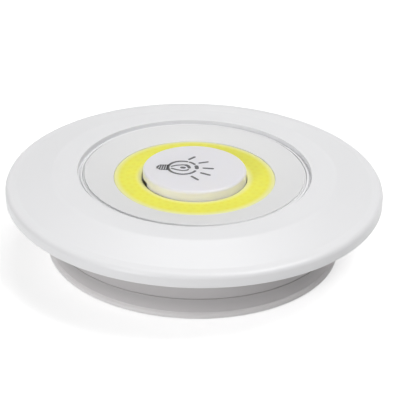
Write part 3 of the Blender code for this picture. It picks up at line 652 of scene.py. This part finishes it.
def gel_finish():
    """Yellow gel with warm spots in staggered rows, paler at its two thin edges."""
    material = moulded("phosphor_gel", (0.84, 0.82, 0.075), 0.50, tint=0.02, grain_mm=1.2,
                       grain_depth=0.03, patch_mm=3.0)
    tree = material.node_tree
    math_of = maths(tree)

    def distance(along, across):
        squares = [math_of("MULTIPLY", side, side) for side in (along, across)]
        return math_of("SQRT", math_of("ADD", *squares))

    def off_centre(cells, pitch):
        """How far a point lies from the middle of its cell, in mm."""
        return math_of("MULTIPLY", math_of("SUBTRACT", math_of("FRACT", cells), 0.5), pitch)

    x, y, _ = object_axes(tree)
    radius = math_of("DIVIDE", distance(x, y), mm)
    rows = math_of("DIVIDE", math_of("SUBTRACT", radius, rows_start), row_pitch)
    stagger = math_of("MULTIPLY", math_of("MODULO", math_of("FLOOR", rows), 2.0), 0.5)
    turns = math_of("DIVIDE", math_of("ARCTAN2", y, x), math.tau)
    chips = math_of("ADD", math_of("MULTIPLY", turns, float(chips_round)), stagger)
    chip_pitch = math.tau * (gel_inner + gel_outer) / 2 / chips_round
    from_chip = distance(off_centre(chips, chip_pitch), off_centre(rows, row_pitch))
    spot = mapped(tree, from_chip, spot_core, spot_edge, spot_share, 0.0, "SMOOTHSTEP")
    painted_over(material, spot, (0.80, 0.66, 0.02))

    from_edge = math_of("MINIMUM", math_of("SUBTRACT", radius, gel_inner),
                        math_of("SUBTRACT", gel_outer, radius))
    thin = mapped(tree, from_edge, 0.0, thin_width, thin_share, 0.0, "SMOOTHSTEP")
    painted_over(material, thin, (0.84, 0.83, 0.42))
    return material


gel = gel_finish()

# %% LED ring
gel_low, gel_edge, gel_crown = 17.80, 18.60, 0.06
gel_lip = (0.2, 0.1)
gel_profile = [(gel_inner, gel_low)]
gel_profile += arc((gel_inner + gel_lip[0], gel_edge - gel_lip[1]), gel_lip, 180, 100, 5)
for share in (0.06, 0.12, 0.2, 0.35, 0.5, 0.65, 0.8, 0.88, 0.94):
    swell = gel_crown * math.sin(math.pi * share) ** 0.7
    gel_profile.append((gel_inner + (gel_outer - gel_inner) * share, gel_edge + swell))
gel_profile += arc((gel_outer - gel_lip[0], gel_edge - gel_lip[1]), gel_lip, 80, 0, 5)
gel_profile.append((gel_outer, gel_low))
led_ring = piece("led_gel", [ring(gel_profile, gel)])
finished(led_ring, gel, "lamp_body", ["cob_phosphor"])

# %% [markdown]
# ## Push button
#
# The button is a cup of milky plastic. It carries three snap hooks below its skirt, a key that keeps
# it from turning, a stem that meets the switch, and a low window for the infrared receiver, which is
# the dark notch at its left front. The cup is turned, the hook is swept once and copied, and the
# window is cut. Below the top edge its side is painted paler, as painted light that stands in for light
# glowing through the thin wall. A blend by height does this.

# %% Painted light by height
def painted_light_by_height(material, start, end, colour):
    """Paints light into a plastic: blends it into a paler tone between two heights."""
    tree = material.node_tree
    height = object_axes(tree)[2]
    painted_over(material, mapped(tree, height, start * mm, end * mm, 0.0, 1.0, "SMOOTHSTEP"), colour)
    print(material.name, "grows paler from", start, "to", end, "mm")


# %% Button
button_top = 20.975
# Painted light: below its top edge the button's side is painted paler, for light glowing through the thin
# wall.
painted_light_by_height(button_milk, 20.85, 20.45, (0.91, 0.885, 0.93))
cup_profile = softened([
    (0, button_top, 0),
    (12.30, button_top, 0.62),
    (12.45, 16.35, 0.12),
    (11.25, 16.35, 0.12),
    (11.25, 19.70, 0.50),
    (0, 19.70, 0),
], closed=False)
hook_profile = softened([
    (11.40, 15.20, 0.1), (12.15, 15.20, 0.1), (13.75, 15.90, 0.1), (13.75, 16.20, 0.05),
    (12.15, 16.20, 0.15), (12.15, 16.75, 0), (11.40, 16.75, 0),
])
stem_profile = softened([(0, 19.9, 0), (2.0, 19.9, 0), (2.0, 18.5, 0.2), (0, 18.5, 0)], closed=False)
key_shape = placed(raised(box_outline(0.75, 1.0, 0.2, (12.6, 0)), 16.35, 17.2), degrees=90)
hooks = around([swept(hook_profile, 0, 10)], 3, button_milk, first=30)
window_angle, window_half_angle = 196, 9
window_cut = [(10.2, 15.3), (13.4, 15.3), (13.4, 19.3), (10.2, 19.3)]
cup = carved(piece("cup", [turned(cup_profile)]), [swept(window_cut, window_angle, window_half_angle)])
button = piece("button", [shape_of(cup), hooks, key_shape, turned(stem_profile, small_steps)])
finished(button, button_milk, "button", ["button_cap"])

# %% [markdown]
# ## Printed symbol
#
# The button carries a plain light-bulb sign, lying on its side: a screw base, a round bulb with its
# filament and five rays. It is printed, so it is a very thin layer of grey ink on the milky top. Each
# line of it is a stroke: a thin ribbon with round ends that follows a few points.

# %% Ink and strokes
ink_bottom, ink_top = button_top - 0.01, button_top + 0.02
stroke_width = 0.62


def stroke(points, width=stroke_width, end_steps=6):
    """A thin raised ribbon along the points, with round ends."""
    line = [Vector(point) for point in points]
    left, right = [], []
    for number, point in enumerate(line):
        before = line[max(number - 1, 0)]
        after = line[min(number + 1, len(line) - 1)]
        ahead = (after - before).normalized()
        side = Vector((-ahead.y, ahead.x)) * width / 2
        left.append(point + side)
        right.append(point - side)
    first_way = math.degrees(math.atan2(*(line[1] - line[0]).yx))
    last_way = math.degrees(math.atan2(*(line[-1] - line[-2]).yx))
    half = (width / 2, width / 2)
    outline = [tuple(p) for p in left[1:-1]]
    outline += arc(line[-1], half, last_way + 90, last_way - 90, end_steps)
    outline += [tuple(p) for p in reversed(right[1:-1])]
    outline += arc(line[0], half, first_way - 90, first_way - 270, end_steps)
    return raised(outline, ink_bottom, ink_top)


ink = moulded("symbol_ink", (0.115, 0.115, 0.118), 0.55, tint=0.12, grain_mm=0.15, grain_depth=0.002,
              patch_mm=0.8)

# %% The bulb sign
globe_radius = 3.42
loop_middle = (0.5, 0.0)
edge_line, thread_line, loop_line, loop_end_line, bold_line = 0.26, 0.40, 0.50, 0.80, 0.95


def globe_part(first, last, width=stroke_width, steps=24):
    """A stroke along the bulb's round outline."""
    return stroke(arc((0, 0), (globe_radius, globe_radius), first, last, steps), width)


globe = [globe_part(72, 332), globe_part(60, 34), globe_part(15, -3, bold_line, 6)]
loop_top = stroke([(-2.6, 0.60), (-1.4, 1.20), (0.0, 1.48), (0.7, 1.42)], loop_line)
loop_end = stroke(arc(loop_middle, (1.10, 1.40), 72, 0, 8), loop_end_line)
loop_bottom = stroke([(-2.55, -0.50), (-1.2, -1.20), (0.1, -1.54),
                      *arc(loop_middle, (1.10, 1.48), -72, -38, 5)], loop_line)
filament = [loop_top, loop_end, loop_bottom, stroke([(-0.10, 0.05), (0.35, 0.00)], bold_line)]

thread_start, thread_step, thread_lean = -3.62, 0.56, 0.16
threads = []
for number, half in enumerate((1.22, 1.22, 1.20, 1.02, 0.55)):
    x = thread_start - thread_step * number
    threads.append(stroke([(x - thread_lean, -half), (x + thread_lean, half)], thread_line))
base_edges = [stroke([(-3.3, side * 1.15), (-5.3, side * 1.22), (-6.15, side * 0.25)], edge_line)
              for side in (-1, 1)]
ray_ends = (((1.55, 4.45), (2.80, 5.80)), ((4.05, 2.65), (5.95, 3.32)), ((5.05, 0.02), (7.20, -0.18)),
            ((4.50, -2.55), (6.45, -3.55)), ((2.25, -4.45), (3.70, -6.10)))
rays = [stroke(ends) for ends in ray_ends]
sign_place = (-2.92, 0.08)
sign_shapes = (*globe, *filament, *threads, *base_edges, *rays)
sign = piece("symbol", [placed(shape, *sign_place) for shape in sign_shapes])
finished(sign, ink, "button")

# %% [markdown]
# ## Drum and battery tray
#
# The drum is the narrow wall under the rim, with a thin brim that closes the bezel's back. Its deck
# carries the boards above and the tray for three cells below. The turned shell gets its screw holes
# and slots by Boolean, because they cut through a flat deck. What stands on it, such as walls,
# saddles and stops, is laid into the same mesh.

# %% Shell of the drum
drum_profile = softened([
    (0, 14.10, 0),
    (33.175, 14.10, 0.2),
    (33.175, 15.80, 0.1),
    (42.90, 15.80, 0.1),
    (42.90, 14.60, 0.1),
    (34.375, 14.60, 0.5),
    (34.375, 5.17, 0.32),
    (32.275, 5.17, 0.10),
    (32.275, 6.70, 0.10),
    (33.175, 6.70, 0.10),
    (33.175, 13.00, 0.3),
    (0, 13.00, 0),
], closed=False)
through_deck = (12, 15)
lead_slot_place = (24.3, 10.9)
cover_twist, entry_half_angle = 22, 7.6
cutters = [raised(disc_outline(shank_radius + fit, 24, at_angle(screw_circle, angle)), *through_deck)
           for angle in every_screw_angle]
cutters += [raised(box_outline(0.5, 1.5, 0, [side * way for way in lead_slot_place]), *through_deck)
            for side in (-1, 1)]
entry_profile = [(31.3, 4.3), (33.03, 4.3), (33.03, 7.1), (31.3, 7.1)]
cutters += [swept(entry_profile, 90 * number - cover_twist, entry_half_angle) for number in range(4)]
drum_shell = carved(piece("shell", [turned(drum_profile)]), cutters)
print("drum shell", len(drum_shell.data.polygons), "faces")


# %% Tray and saddles
def framed(outer, inner, bottom, top):
    """A wall between two outlines with the same number of points."""
    edges = ((outer, bottom), (outer, top), (inner, top), (inner, bottom))
    return lofted([[(x, y, up) for x, y in outline] for outline, up in edges], capped=False)


cell_pitch, cell_radius, cell_axis = 10.9, 5.25, 7.45
tray_half_length, tray_half_width, wall = 24.8, 16.45, 1.0
wall_x, wall_y = tray_half_length + wall / 2, tray_half_width + wall / 2
into_deck = 13.4
tray_wall = framed(box_outline(tray_half_length + wall, tray_half_width + wall, 2.0),
                   box_outline(tray_half_length, tray_half_width, 1.0), 2.2, 13.2)

saddle_low, saddle_x = cell_axis + 2.6, 13.8
saddle_edge = [(-wall_y, into_deck), (-wall_y, saddle_low)]
for row in (-1, 0, 1):
    bed = arc((row * cell_pitch, cell_axis), (cell_radius + fit, cell_radius + fit), 150, 30, 20)
    saddle_edge += [point for point in bed if point[1] > saddle_low]
saddle_edge += [(wall_y, saddle_low), (wall_y, into_deck)]
saddles = []
for side in (-1, 1):
    upright = placed(raised(saddle_edge, -1, 1), degrees=90, axis="X")
    saddles.append(placed(placed(upright, degrees=90), x=side * saddle_x))
print("tray of", 2 * tray_half_length, "by", 2 * tray_half_width, "mm inside, with", len(saddles), "saddles")

# %% Stops, posts and pegs
stop_profile = [(32.6, 6.4), (33.4, 6.4), (33.4, 8.2), (32.6, 8.2)]
stops = around([swept(stop_profile, angle, 0.95, 3) for angle in (9.15, -31.15)], 4, drum_painted_shade)
posts = around([tube_wall(0.7, 1.6, 14.0, 16.2, (22.5, 0))], 3, drum_painted_shade, first=60)
peg_profile = softened([(0, 15.6, 0), (0.7, 15.6, 0.15), (0.7, 14.0, 0), (0, 14.0, 0)], closed=False)
pegs = around([placed(turned(peg_profile, 24), 8.05, 0)], 2, drum_painted_shade, first=52)
print("faces of the stops, posts and pegs:", len(stops.faces), len(posts.faces), len(pegs.faces))

# %% Keepers of the contacts
contact_offset, contact_half_width = 0.7, 4.4
keeper_lip, keeper_reach = 0.6, 0.4
back_x = tray_half_length - contact_offset - fit
front_x = back_x - keeper_lip
low, high, edge = contact_half_width, cell_pitch - contact_half_width, cell_pitch + contact_half_width
keeper_outlines = [[
    (wall_x, low + fit), (wall_x, high - fit), (back_x, high - fit), (back_x, high + keeper_reach),
    (front_x, high + keeper_reach), (front_x, low - keeper_reach), (back_x, low - keeper_reach),
    (back_x, low + fit)]]
for side in (-1, 1):
    keeper_outlines.append([
        (wall_x, side * (edge + fit)), (wall_x, side * wall_y), (front_x, side * wall_y),
        (front_x, side * (edge - keeper_reach)), (back_x, side * (edge - keeper_reach)),
        (back_x, side * (edge + fit))])
keepers = around([raised(outline, 2.5, into_deck) for outline in keeper_outlines], 2, drum_painted_shade)

drum = piece("drum", [shape_of(drum_shell), tray_wall, *saddles, stops, posts, pegs, keepers])
finished(drum, drum_painted_shade, "lamp_body", ["drum_housing"])

# %% [markdown]
# ## Back cover
#
# The cover is a shallow cup with a thin flange at the foot of the drum. Four tabs with outward hooks
# pass through gaps in the drum's ledge and catch above it when the cover is twisted. Two scoops in
# its face take fingertips, and a round recess takes the pad. Its plastic is painted darker than the
# bezel's white, as painted shade under the rim. It then gets painted light from the floor: its wall is
# painted paler towards the foot and the flange paler still, so its plastic is blended twice by height.

# %% Cover
cover_profile = softened([
    (0, 1.90, 0),
    (33.075, 1.90, 0.40),
    (33.075, 5.14, 0.15),
    (34.375, 5.14, 0.26),
    (34.375, 1.62, 0.20),
    (34.975, 1.20, 0.40),
    (34.975, 0.30, 0.35),
    (20.30, 0.30, 0.12),
    (20.30, 0.90, 0.15),
    (0, 0.90, 0),
], closed=False)


def scoop(middle_y, length=15.0, width=4.5, top=1.1, slope=0.5):
    """A long dip with sloping sides."""
    loops = []
    for up, spread in ((-0.7, 0.6), (0.3, 0.0), (top - 0.15, -slope), (top, -slope - 0.3)):
        half_width = width / 2 + spread
        outline = box_outline(length / 2 + spread, half_width, half_width - 0.01, (0, middle_y), 10)
        loops.append([(x, y, up) for x, y in outline])
    return lofted(loops)


# Painted shade and painted light: darker than the bezel's white under the rim, with painted light towards
# the foot and on the flange.
cover_painted_shade_and_light = moulded("cover_white_painted_shade_and_light", (0.48, 0.466, 0.469), 0.45, tint=0.012, grain_mm=0.25, IOR=1.52)
painted_light_by_height(cover_painted_shade_and_light, 5.0, 1.8, (0.63, 0.61, 0.615))
painted_light_by_height(cover_painted_shade_and_light, 1.95, 1.45, (0.93, 0.91, 0.91))
scoop_middle = (20.3 + 34.975) / 2
cover_shell = carved(piece("shell", [turned(cover_profile)]),
                     [scoop(side * scoop_middle) for side in (-1, 1)])
tab_profile = softened([(30.975, 1.5, 0), (31.975, 1.5, 0), (31.975, 7.0, 0.2), (32.875, 7.0, 0.05),
                        (32.875, 7.9, 0.1), (32.575, 8.2, 0.1), (30.975, 8.2, 0.2)])
gusset_profile = [(29.375, 1.5), (31.475, 1.5), (31.475, 7.0), (30.975, 7.0), (29.375, 2.2)]
tabs = around([swept(tab_profile, 0, 7), swept(gusset_profile, 0, 0.85, 1)], 4, cover_painted_shade_and_light)
cover = piece("cover", [shape_of(cover_shell), tabs])
finished(cover, cover_painted_shade_and_light, "cover", ["back_cover"])

# %% [markdown]
# ## Pad
#
# The light sticks to a wall or a shelf with a disc of white foam. Its cut edge shows the foam's
# cells, so the finish keeps the moulded pattern's colour but takes its bump from Voronoi cells.

# %% Pad
foam_cell_mm = 0.30


def foam_finish():
    """White foam with a bump of small cells."""
    material = moulded("pad_foam", (0.74, 0.73, 0.69), 0.85, tint=0.03, patch_mm=4.0, gloss_change=0.05)
    tree = material.node_tree
    cells = add(tree, "ShaderNodeTexVoronoi", [
        ("Vector", object_place(tree)), ("Scale", 1 / (foam_cell_mm * mm))])
    bump = add(tree, "ShaderNodeBump", [
        ("Strength", 0.6), ("Distance", 0.05 * mm), ("Height", cells.outputs["Distance"])])
    tree.links.new(bump.outputs[0], tree.nodes["Principled BSDF"].inputs["Normal"])
    return material


foam = foam_finish()
pad_profile = softened([(0, 0.60, 0), (20.0, 0.60, 0.10), (20.0, 0, 0.12), (0, 0, 0)], closed=False)
pad = piece("pad", [turned(pad_profile)])
finished(pad, foam, "cover", ["adhesive_pad"])

# %% [markdown]
# ## Metal inside
#
# Behind the cover are four screws, three coil contacts and the stamped plates that join the cells.
# A coil follows a rule of its own, a spiral that rises while it narrows, so its tree starts from the
# Spiral curve. The three coils stand at points that carry their own turn.

# %% Metal finish
def metal(name, colour, roughness):
    """Bare metal with small patches of more and less gloss."""
    return moulded(name, colour, roughness, tint=0.06, grain_mm=0.2, grain_depth=0.003, patch_mm=1.5,
                   gloss_change=0.08, Metallic=1.0)


nickel = metal("nickel_plate", (0.62, 0.60, 0.56), 0.28)
steel = metal("screw_steel", (0.50, 0.50, 0.51), 0.34)


# %% Screws
head_bottom, thread_top, thread_count = 11.7, 16.7, 7
core_radius, screw_pitch = 0.66, 0.5


def cross_recess(reach=0.9, half=0.22, depth=0.45, overrun=0.3):
    """A four-armed driver's recess, open at the head's face: each arm's two ends, then a corner."""
    outline = []
    for x, y in ((1, 0), (0, 1), (-1, 0), (0, -1)):
        outline += [(reach * x + half * y, reach * y - half * x),
                    (reach * x - half * y, reach * y + half * x), (half * (x - y), half * (x + y))]
    return raised(outline, head_bottom - overrun, head_bottom + depth)


screw_profile = [(0, 17.5), (0.35, 17.5), (0.62, 16.9)]
for number in range(thread_count):
    ridge_top = thread_top - screw_pitch * number
    screw_profile += [(core_radius, ridge_top), (shank_radius, ridge_top - 0.18),
                      (shank_radius, ridge_top - 0.24), (core_radius, ridge_top - 0.42)]
screw_profile += softened([(core_radius, 12.7, 0), (1.9, 12.7, 0.1), (1.9, 12.1, 0.35),
                           (1.45, head_bottom, 0.3), (0, head_bottom, 0)], closed=False)
screw_shape = shape_of(carved(piece("screw", [turned(screw_profile, small_steps)]), [cross_recess()]))
screw_pair = [placed(screw_shape.copy(), *at_angle(screw_circle, angle)) for angle in screw_angles]
screw_shape.free()
screws = piece("screws", [around(screw_pair, 2, steel)])
finished(screws, steel, "lamp_body", [f"housing_screw_{number}" for number in (1, 2, 3, 4)])


# %% Coil contacts
def coil_tree():
    """The tree that sets a conical coil of wire on each point, turned as the point says."""
    sizes = ("Turns", "Base radius", "Tip radius", "Height", "Wire radius")
    tree, entry = new_tree("Coil contacts", [(label, "NodeSocketFloat") for label in sizes])
    size = entry.outputs
    spiral = add(tree, "GeometryNodeCurveSpiral", [
        ("Resolution", 40), ("Rotations", size["Turns"]), ("Start Radius", size["Base radius"]),
        ("End Radius", size["Tip radius"]), ("Height", size["Height"])])
    section = add(tree, "GeometryNodeCurvePrimitiveCircle", [
        ("Resolution", 12), ("Radius", size["Wire radius"])])
    coil = add(tree, "GeometryNodeCurveToMesh", [
        ("Curve", spiral.outputs["Curve"]), ("Profile Curve", section.outputs["Curve"]),
        ("Fill Caps", True)])
    upright = add(tree, "GeometryNodeTransform", [
        ("Geometry", coil.outputs[0]), ("Rotation", (0, math.pi / 2, 0))])
    own_turn = add(tree, "GeometryNodeInputNamedAttribute", [("Name", "turn")], data_type="FLOAT")
    turn_by = add(tree, "ShaderNodeCombineXYZ", [("Z", own_turn.outputs[0])])
    set_down = add(tree, "GeometryNodeInstanceOnPoints", [
        ("Points", size["Geometry"]), ("Instance", upright.outputs[0]),
        ("Rotation", turn_by.outputs[0])])
    close_tree(tree, entry, set_down.outputs[0])
    return tree


wire_radius = 0.25
coil_x = -tray_half_length + contact_offset + fit + wire_radius
coil_spots = [(coil_x, cell_pitch, cell_axis), (-coil_x, 0, cell_axis), (coil_x, -cell_pitch, cell_axis)]
coil_mesh = bpy.data.meshes.new("coils")
coil_mesh.from_pydata([[way * mm for way in spot] for spot in coil_spots], [], [])
turns = coil_mesh.attributes.new("turn", "FLOAT", "POINT")
turns.data.foreach_set("value", [0.0, math.pi, 0.0])
coils = new_object("coils", coil_mesh)
grown(coils, coil_tree(), {"Turns": 2.5, "Base radius": 3.45 * mm, "Tip radius": 1.8 * mm,
                           "Height": 2.3 * mm, "Wire radius": wire_radius * mm, "Material": nickel})
finished(coils, nickel, "lamp_body", [f"contact_spring_{number}" for number in (1, 2, 3)])

# %% [markdown]
# ## Cells, boards and leads
#
# The rest is flat, small or hidden behind the drum, and its shapes are right as they come, so those
# nodes stay and only get a finish. A cell has a printed sleeve between two bare metal ends, and a
# circuit board has paler tracks under its mask. Both patterns come from Object coordinates.

# %% Dress a node
def dressed(material, *names):
    """Gives a finish to nodes that keep their own shape."""
    for name in names:
        nodes[name].data.materials.clear()
        nodes[name].data.materials.append(material)
    print(material.name, "on", ", ".join(names))


band_start, sleeve_end, sleeve_start = 11.0, 22.35, -20.45


def sleeve_finish(name, plus_side):
    """A shrunk sleeve with a gold band towards the plus end, and bare metal at both ends."""
    material = moulded(name, (0.055, 0.12, 0.30), 0.32, tint=0.05, grain_mm=0.6, grain_depth=0.006)
    tree = material.node_tree
    math_of = maths(tree)
    along = math_of("MULTIPLY", object_axes(tree)[0], plus_side / mm)
    band = math_of("GREATER_THAN", along, band_start)
    bare = math_of("MAXIMUM", math_of("GREATER_THAN", along, sleeve_end),
                   math_of("LESS_THAN", along, sleeve_start))
    painted_over(material, band, (0.62, 0.40, 0.14))
    painted_over(material, bare, (0.60, 0.58, 0.55))
    tree.links.new(bare, tree.nodes["Principled BSDF"].inputs["Metallic"])
    return material


dressed(sleeve_finish("cell_sleeve_right", 1), "aaa_cell_1", "aaa_cell_3")
dressed(sleeve_finish("cell_sleeve_left", -1), "aaa_cell_2")
dressed(nickel, "contact_positive", "contact_negative", "contact_link_right", "contact_link_left")


# %% Boards
def board_finish(name, mask, track, pitch_mm):
    """A circuit board: tracks show as a slightly paler mask."""
    material = moulded(name, mask, 0.38, tint=0.04, grain_mm=0.3, grain_depth=0.004)
    tree = material.node_tree
    black, white = (0, 0, 0, 1), (1, 1, 1, 1)
    bricks = add(tree, "ShaderNodeTexBrick", [
        ("Vector", object_place(tree)), ("Scale", 1 / (pitch_mm * mm)), ("Mortar Size", 0.06),
        ("Color1", black), ("Color2", black), ("Mortar", white)])
    painted_over(material, bricks.outputs["Color"], track)
    return material


dressed(board_finish("control_board_mask", (0.02, 0.13, 0.05), (0.05, 0.24, 0.10), 2.4), "control_board")
dressed(board_finish("lamp_board_mask", (0.78, 0.78, 0.76), (0.86, 0.86, 0.84), 3.6), "cob_board")
dressed(switch_black, "tact_switch_body", "tact_plunger", "microcontroller", "driver_transistor",
        "chip_resistor_1", "chip_resistor_2")
dressed(moulded("receiver_window", (0.085, 0.068, 0.060), 0.15, tint=0.10, grain_depth=0.001), "ir_receiver")
dressed(moulded("capacitor_ceramic", (0.36, 0.24, 0.13), 0.45, tint=0.08), "filter_capacitor")
dressed(moulded("insulation_red", (0.50, 0.02, 0.02), 0.42, tint=0.06),
        "battery_lead_positive", "led_lead_positive")
dressed(moulded("insulation_black", (0.02, 0.02, 0.02), 0.42, tint=0.15),
        "battery_lead_negative", "led_lead_negative")
